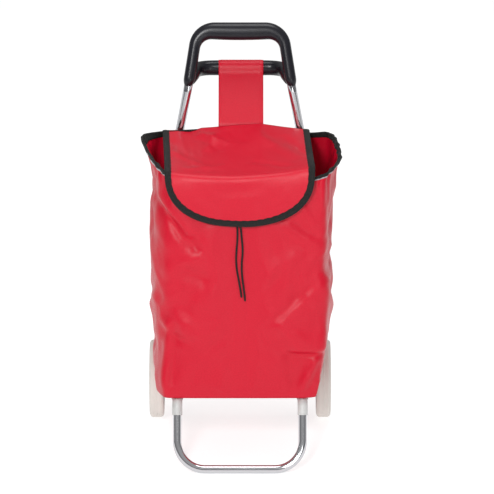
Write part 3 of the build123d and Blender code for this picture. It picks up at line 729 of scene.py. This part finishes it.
# ---------------------------------------------------------------- flap
FLAP_HALF, FLAP_TIP_Z, FLAP_ROUND = 155, 533.5, 112
FLAP_POWER = 2.3
FLAP_TOP = 242                         # cloth length over the mouth, from the back edge to the bend
FLAP_SOFT = 0.04                       # share of each length that is rounded at the bend
FLAP_TAPE = 12.5
# height of the back edge, pulled up by the strap
FLAP_BACK = [(-160, 649), (-125, 650), (-100, 647), (-86, 650), (-74, 655), (-46, 657), (0, 662), (51, 665),
             (96, 658), (143, 652), (160, 650)]
# wrinkles: from, to (across, along the cloth), width, height
FLAP_WRINKLES = [
    ((-84, 20), (-14, 83), 7, 3.8), ((-86, 38), (-30, 115), 7, -2.8), ((-46, 20), (-66, 115), 7, 3.4),
    ((-20, 10), (20, 88), 8, -2.6), ((30, 8), (74, 105), 10, 3), ((100, 38), (150, 171), 9, -3.2),
    ((-140, 113), (-60, 213), 8, 3), ((60, 55), (130, 181), 11, 2.6), ((-118, 255), (112, 249), 7, 1.8),
    ((-60, 279), (60, 273), 9, -1.8), ((-140, 38), (-100, 181), 8, -2.8), ((-120, 219), (-20, 188), 8, 2.4),
    ((20, 163), (120, 221), 8, -2.4), ((-100, 299), (-40, 335), 10, 2), ((50, 331), (116, 289), 10, 2),
]


def flap_crease_z(x):
    return 650 - 17 * (1 - (x / FLAP_HALF) ** 2) + 0.03 * x


def flap_front(z):
    return front_y(z) - 13


def flap_bend(x):
    """Where the cloth turns down over the front hem."""
    crease = flap_crease_z(x)
    return np.stack([x, flap_front(crease) + 14, crease + 4], -1)


def flap_tip(x):
    flat = np.ones_like(x)
    return np.stack([x, flat * flap_front(FLAP_TIP_Z) - 2, flat * FLAP_TIP_Z], -1)


def drop_curve(u, bend, tip):
    """Below the bend the cloth rolls over the hem, then hangs."""
    near, far = bend + np.array([0, -15, -3]), bend + np.array([0, -21, -32])
    return (1 - u) ** 3 * bend + 3 * u * (1 - u) ** 2 * near + 3 * u ** 2 * (1 - u) * far + u ** 3 * tip


DROP_U = np.linspace(0, 1, 60)
DROP_LINE = drop_curve(DROP_U[:, None], flap_bend(np.array(0.0)), flap_tip(np.array(0.0)))
DROP_LENGTH = run_lengths(DROP_LINE)
FLAP_DROP = DROP_LENGTH[-1]            # cloth length from the bend to the tip


def drop_u(share):
    """Curve parameter at this share of the hanging length; past the tip it runs straight on."""
    past = np.clip(share - 1, 0, None)
    return np.interp(share, DROP_LENGTH / FLAP_DROP, DROP_U) + 0.5 * past


def flap_base(x, v):
    """Smooth shape of the flap: x across, v along the cloth from the back edge, both in millimetres."""
    x, v = np.broadcast_arrays(np.asarray(x, float), np.asarray(v, float))
    s = np.where(v < FLAP_TOP, v / FLAP_TOP, 1 + (v - FLAP_TOP) / FLAP_DROP)
    back = np.stack([1.004 * x - 8.5, np.full_like(x, back_y(650) - 1.5), np.interp(x, *zip(*FLAP_BACK))], -1)
    bend, tip = flap_bend(x), flap_tip(x)
    top = back + (bend - back) * s[..., None]
    drop = drop_curve(drop_u(np.clip(s - 1, 0, None))[..., None], bend, tip)
    first = back + (bend - back) * (1 - FLAP_SOFT)
    last = drop_curve(drop_u(FLAP_SOFT), bend, tip)
    t = np.clip((s - 1 + FLAP_SOFT) / (2 * FLAP_SOFT), 0, 1)[..., None]
    rounded = (1 - t) ** 2 * first + 2 * t * (1 - t) * bend + t ** 2 * last
    before, after = (s < 1 - FLAP_SOFT)[..., None], (s > 1 + FLAP_SOFT)[..., None]
    points = np.where(before, top, np.where(after, drop, rounded))
    points[..., 2] -= 6 * np.sin(pi * np.clip(s, 0, 1)) * (1 - np.abs(x) / 260)
    return points


def flap_surface(x, v):
    """Points of the wrinkled flap, and the outward normals of its smooth shape."""
    x, v = np.broadcast_arrays(np.asarray(x, float), np.asarray(v, float))
    points = flap_base(x, v)
    normals = -unit(np.cross(flap_base(x + 1, v) - points, flap_base(x, v + 1) - points))
    lift = sum(ridge(np.stack([x, v], -1), *wrinkle) for wrinkle in FLAP_WRINKLES)
    lift = lift + 2.6 * noise_at(np.stack([x * 0.016, v * 0.014, x * 0 + 4], -1)) * np.clip(v / 60, 0, 1)
    return points + normals * lift[..., None], normals


def flap_edge(x):
    """Cloth length from the back edge to the outline at this distance across."""
    x = np.atleast_1d(np.asarray(x, float))
    fall = (1 - np.minimum(1, np.abs(x) / FLAP_HALF) ** FLAP_POWER) ** (1 / FLAP_POWER)
    wanted = FLAP_TIP_Z + FLAP_ROUND * (1 - fall)
    shares = np.linspace(0, 1, 120)
    heights = drop_curve(drop_u(shares)[:, None, None], flap_bend(x), flap_tip(x))[..., 2]
    reached = [np.interp(z, column[::-1], shares[::-1]) for z, column in zip(wanted, heights.T)]
    return FLAP_TOP + FLAP_DROP * np.array(reached)


def make_flap():
    """The lid: one cloth, back over the mouth and down in front to a rounded tip."""
    cols, rows = 141, 110
    x = np.broadcast_to(FLAP_HALF * np.sin(np.linspace(-pi / 2, pi / 2, cols)), (rows, cols))
    v = flap_edge(x[0]) * np.linspace(0, 1, rows)[:, None]
    points, _ = flap_surface(x, v)
    flap = add_piece("lid_flap", points.reshape(-1, 3), grid_faces(rows, cols), "flap", "red_fabric",
                     ("flap_panel",), np.stack([x, v], -1).reshape(-1, 2) / 1000)
    return thicken(flap, CLOTH, 0.0)


def flap_outline(step):
    """Even points down the left side, round the tip and up the right side, with their inward directions."""
    angles = np.linspace(-pi / 2, pi / 2, 400)
    x = FLAP_HALF * np.sign(np.sin(angles)) * np.abs(np.sin(angles)) ** (2 / FLAP_POWER)
    side = np.linspace(0, 1, 60)[:-1] * flap_edge(FLAP_HALF)
    x = np.concatenate([np.full(59, -FLAP_HALF), x, np.full(59, FLAP_HALF)])
    v = np.concatenate([side, flap_edge(x[59:-59]), side[::-1]])
    length = np.concatenate([[0], np.cumsum(np.hypot(np.diff(x), np.diff(v)))])
    line, even = resample(np.stack([x, v], -1), length, int(length[-1] / step))
    line = blur(line, 1.5, 0, False)
    tangent = unit(np.gradient(line, axis=0))
    return line, np.stack([tangent[:, 1], -tangent[:, 0]], -1), even


def make_flap_tape():
    """Tape folded over the flap's edge and stitched down near its inner side."""
    line, inward, even = flap_outline(2.5)
    depths = np.array([0, 2, 4.5, 7, 9.2, 10.2, 11.2, FLAP_TAPE])
    lifts = np.array([1.3, 1.6, 1.7, 1.6, 1.3, 0.9, 1.25, 1.0])
    wavy = depths[:, None] * (1 + 0.035 * np.sin(even * 0.37) + 0.02 * np.sin(even * 0.9))
    spots = line + inward * wavy[..., None]
    points, normals = flap_surface(spots[..., 0], spots[..., 1])
    crinkle = 0.35 * noise_at(points * 0.3)
    outer = points + normals * (lifts[:, None] + crinkle)[..., None]
    inner = points - normals * (lifts[:, None] + crinkle)[..., None]
    lip = points[:1] - unit(points[1:2] - points[:1]) * 1.5
    sections = np.concatenate([outer[::-1], lip, inner]).transpose(1, 0, 2)
    points, faces = section_sweep(sections)
    tape = add_piece("flap_tape", points, faces, "flap", "black_tape", ("flap_binding",), sweep_uv(sections))
    seam = flap_surface(*np.moveaxis(line + inward * 8.6, 1, 0))
    return tape, make_stitches("flap_stitches", [(seam[0] + seam[1] * 1.45, seam[1])], "flap", "black_tape")


# ---------------------------------------------------------------- strap
STRAP_LEFT, STRAP_RIGHT = -46, 50
STRAP_WIDE = STRAP_RIGHT - STRAP_LEFT
STRAP_SEAM = 5.8                       # stitches in from each edge
STRAP_FOOT_Z = 628


def strap_route():
    """From the seam on the bag's back, up to the hanging bar, over it and back down, seen from the side."""
    bar = HANG_ORIGIN + HANG_REACH * HANG_OUT
    a, b = HANG_HALF[0] + 1.3, HANG_HALF[1] + 1.3
    low = np.array([0, float(back_y(STRAP_FOOT_Z)) + 2.4, STRAP_FOOT_Z])
    top = np.array([0, float(back_y(658)) + 1.8, 661])
    over = []
    for angle in np.radians(np.linspace(196, -16, 40)):
        over.append(bar + a * cos(angle) * HANG_OUT + b * sin(angle) * HANG_NORMAL)
    end = low + np.array([0, 2.6, 0])
    points = [low, top] + over + [top + np.array([0, 8, -4]), end]
    route = np.array(points)
    dense, even = resample(route, run_lengths(route), 150)
    return blur(dense, 1.6, 0, False), even


def make_strap():
    """Wide loop of the bag's cloth over the hanging bar, its edges turned in and stitched."""
    route, even = strap_route()
    cols = 41
    across = np.linspace(0, 1, cols)
    grid = np.empty((len(route), cols, 3))
    tangent = unit(np.gradient(route, axis=0))
    normal = np.cross(X_AXIS, tangent)
    for c, share in enumerate(across):
        from_edge = min(share, 1 - share) * STRAP_WIDE
        seam = -0.7 * np.exp(-((from_edge - 6) / 1.1) ** 2) + 0.3 * (from_edge < 5)
        grid[:, c] = route + (STRAP_LEFT + share * STRAP_WIDE) * X_AXIS
        grid[:, c] -= normal * seam
    uv = np.stack(np.meshgrid(even, across * STRAP_WIDE, indexing="ij"), -1).reshape(-1, 2) / 1000
    strap = add_piece("strap", grid.reshape(-1, 3), grid_faces(len(route), cols), "frame", "red_fabric",
                      ("hanging_strap",), uv)
    thicken(strap, 1.8, 0.0)
    lines = []
    for inset in (STRAP_SEAM, STRAP_WIDE - STRAP_SEAM):
        line = route + (STRAP_LEFT + inset) * X_AXIS
        lines.append((line - normal * 0.35, -normal))
    return strap, make_stitches("strap_stitches", lines, "frame", "red_fabric")


# ---------------------------------------------------------------- drawstring ends
CORD_D = 0.004
# across, up, and ahead of the bag's front panel
CORD_LEFT = [(-9, 622, 3.3), (-9, 618.3, 7), (-8.6, 611, 7.4), (-7.5, 600, 6.4), (-6, 584, 5.6),
             (-4.5, 562, 5.8), (-5.5, 536, 5.6), (-4.5, 505, 5.9), (-7.5, 474, 6), (-8, 446, 5.6),
             (-3.5, 418, 6.8), (1, 394, 6.4), (3.5, 374, 5.8)]
CORD_RIGHT = [(9, 622, 3.3), (9, 618.3, 7), (8.6, 611, 7.4), (7.2, 600, 6.4), (4.6, 584, 5.6),
              (1.8, 562, 5.9), (1, 536, 5.6), (4, 505, 6), (6.5, 476, 5.6), (3.5, 448, 6.6),
              (4.5, 420, 5.9), (8.5, 392, 6.3), (11, 366, 5.7)]


def cord_line(route):
    """Points along the route's NURBS spline, in metres."""
    data = bpy.data.curves.new("route", "CURVE")
    data.dimensions, data.resolution_u = "3D", 12
    spline = data.splines.new("NURBS")
    spline.points.add(len(route) - 1)
    for point, (x, z, ahead) in zip(spline.points, route):
        point.co = (*world([x, float(front_y(z)) - ahead, z]), 1)
    spline.order_u, spline.use_endpoint_u = 3, True
    holder = bpy.data.objects.new("route", data)
    bpy.context.collection.objects.link(holder)
    mesh = bpy.data.meshes.new_from_object(holder)
    line = np.array([v.co[:] for v in mesh.vertices])
    bpy.data.objects.remove(holder)
    return line


def make_drawstring(side, route):
    """Braided cord with a sealed, rounded end."""
    line = cord_line(route)
    path, even = resample(line, run_lengths(line), 420)
    path = blur(path, 2.0, 0, False)
    across, normal = path_frames(path, np.array([0.0, 1, 0]))
    angles = np.linspace(0, 2 * pi, 16, endpoint=False)
    sections = []
    for k, centre in enumerate(path):
        plait = 1 + 0.06 * np.sin(4 * angles + even[k] * 2400) * np.sin(4 * angles - even[k] * 2400)
        tail = min(1.0, 0.55 + (len(path) - 1 - k) / 5)
        radius = CORD_D / 2 * plait * tail
        ring = np.cos(angles)[:, None] * across[k] + np.sin(angles)[:, None] * normal[k]
        sections.append(centre + radius[:, None] * ring)
    sections = (np.array(sections) - np.array([0, AXLE_Y, 0])) * 1000
    points, faces = section_sweep(sections)
    cord = add_piece(f"cord_{side}", points, faces, "frame", "black_cord", (f"drawstring_{side}",),
                     sweep_uv(sections))
    return cord


EYELET_X, EYELET_Z, EYELET_AHEAD = 9, 622, 4.3
EYELET_RING, EYELET_BEAD = 4.1, 0.9     # radii of the ring and of its bead
EYELET_TURNS, EYELET_SIDES = 32, 10


def make_eyelets():
    """Rolled metal rings in the front hem, one for each drawstring end."""
    turns = np.linspace(0, 2 * pi, EYELET_TURNS, endpoint=False)
    beads = np.linspace(0, 2 * pi, EYELET_SIDES, endpoint=False)
    points, faces = [], []
    for x in (-EYELET_X, EYELET_X):
        centre = np.array([x, float(front_y(EYELET_Z)) - EYELET_AHEAD, EYELET_Z])
        radius = EYELET_RING + EYELET_BEAD * np.cos(beads)[None]
        ring = np.stack([radius * np.cos(turns)[:, None],
                         np.broadcast_to(EYELET_BEAD * np.sin(beads), (EYELET_TURNS, EYELET_SIDES)),
                         radius * np.sin(turns)[:, None]], -1)
        start = len(points) * EYELET_TURNS * EYELET_SIDES
        points.append((centre + ring).reshape(-1, 3))
        faces += [tuple(start + i for i in face)
                  for face in grid_faces(EYELET_TURNS, EYELET_SIDES, wrap_cols=True, wrap_rows=True)]
    return add_piece("eyelet_rings", np.concatenate(points), faces, "frame", "fastener_steel", ("eyelets",))


# ---------------------------------------------------------------- wheels
WHEEL_R, TYRE_IN, TYRE_W, RIM_R = 85, 166, 31, 66


def make_tyre(side, sign):
    """Moulded tyre: rounded shoulders, slightly hollow walls and a raised parting line round the tread."""
    half, shoulder = TYRE_W / 2, 8.5
    profile = [(-half + 1.2, RIM_R), (-half, RIM_R + 3), (-half, RIM_R + 7)]
    profile += [(-half + shoulder * (1 - cos(a)), WHEEL_R - shoulder * (1 - sin(a)))
                for a in np.linspace(0.05, pi / 2 * 0.93, 9)]
    profile += [(-3, WHEEL_R - 0.25), (-1.1, WHEEL_R - 0.35), (-0.7, WHEEL_R), (0.7, WHEEL_R),
                (1.1, WHEEL_R - 0.35)]
    # the far side mirrors the near one, which has 13 points before the parting line
    profile += [(-x, r) for x, r in reversed(profile[:13])]
    sections = []
    for turn in np.linspace(0, 2 * pi, 120, endpoint=False):
        sections.append([(sign * (TYRE_IN + half + x), r * cos(turn), AXLE_Z + r * sin(turn))
                         for x, r in profile])
    sections = np.array(sections)
    points, faces = section_sweep(sections, closed_path=True)
    if sign < 0:
        faces = [f[::-1] for f in faces]
    add_piece(f"tread_{side}", points, faces, f"wheel_{side}", "tyre_cream", (f"tyre_{side}",),
              sweep_uv(sections))


# ---------------------------------------------------------------- studio
def area_light(name, where, target, size, power):
    data = bpy.data.lights.new(name, "AREA")
    data.shape, data.size, data.energy = "DISK", size, power
    light = bpy.data.objects.new(name, data)
    bpy.context.collection.objects.link(light)
    light.location = where
    light.rotation_euler = (Vector(target) - Vector(where)).to_track_quat("-Z", "Y").to_euler()


def make_studio():
    scene = bpy.context.scene
    scene.view_settings.view_transform = "Standard"
    sky = bpy.data.worlds.new("studio")
    sky.use_nodes = True
    background = sky.node_tree.nodes["Background"]
    background.inputs["Strength"].default_value = 1.0
    # brighter overhead than at the horizon
    where = sky.node_tree.nodes.new("ShaderNodeTexCoord")
    split = sky.node_tree.nodes.new("ShaderNodeSeparateXYZ")
    ramp = sky.node_tree.nodes.new("ShaderNodeValToRGB")
    ramp.color_ramp.elements[0].position, ramp.color_ramp.elements[1].position = 0.02, 0.5
    ramp.color_ramp.elements[0].color = (0.16, 0.16, 0.165, 1)
    ramp.color_ramp.elements[1].color = (0.5, 0.5, 0.5, 1)
    sky.node_tree.links.new(where.outputs["Generated"], split.inputs[0])
    sky.node_tree.links.new(split.outputs["Z"], ramp.inputs["Fac"])
    sky.node_tree.links.new(ramp.outputs["Color"], background.inputs["Color"])
    scene.world = sky
    area_light("key", (-0.7, -3.0, 2.45), (0, 0, 0.5), 0.8, 68)
    area_light("fill", (0.9, -3.4, 0.9), (0, 0, 0.45), 1.0, 12)
    area_light("top", (0.2, 0.1, 3.2), (0, 0, 0.2), 1.6, 34)
    reach = 12
    mesh = bpy.data.meshes.new("floor")
    corners = [(-reach, -reach, 0), (reach, -reach, 0), (reach, reach, 0), (-reach, reach, 0)]
    mesh.from_pydata(corners, [], [(0, 1, 2, 3)])
    floor = bpy.data.objects.new("floor", mesh)
    bpy.context.collection.objects.link(floor)
    paper = new_material("floor", (0.45, 0.45, 0.45), 0.9, Emission_Color=(1, 1, 1, 1),
                         Emission_Strength=0.72)
    mesh.materials.append(paper)


def fold_flat(*pieces):
    """Gives each of these pieces a mesh of its own."""
    for piece in pieces:
        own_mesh(piece)


add_camera()
MATERIALS = make_materials()
cords = [make_drawstring("left", CORD_LEFT), make_drawstring("right", CORD_RIGHT)]
make_grip()
make_hang_bar()
bag, bag_walls = make_bag()
mouth_tape, silver_tape, mouth_stitches = make_mouth_trim(bag_walls)
flap = make_flap()
flap_tape, flap_stitches = make_flap_tape()
strap, strap_stitches = make_strap()
eyelets = make_eyelets()
for side, sign in (("right", 1), ("left", -1)):
    make_tyre(side, sign)
fold_flat(bag, mouth_tape, silver_tape, mouth_stitches, flap, flap_tape, flap_stitches, eyelets, *cords)
make_studio()
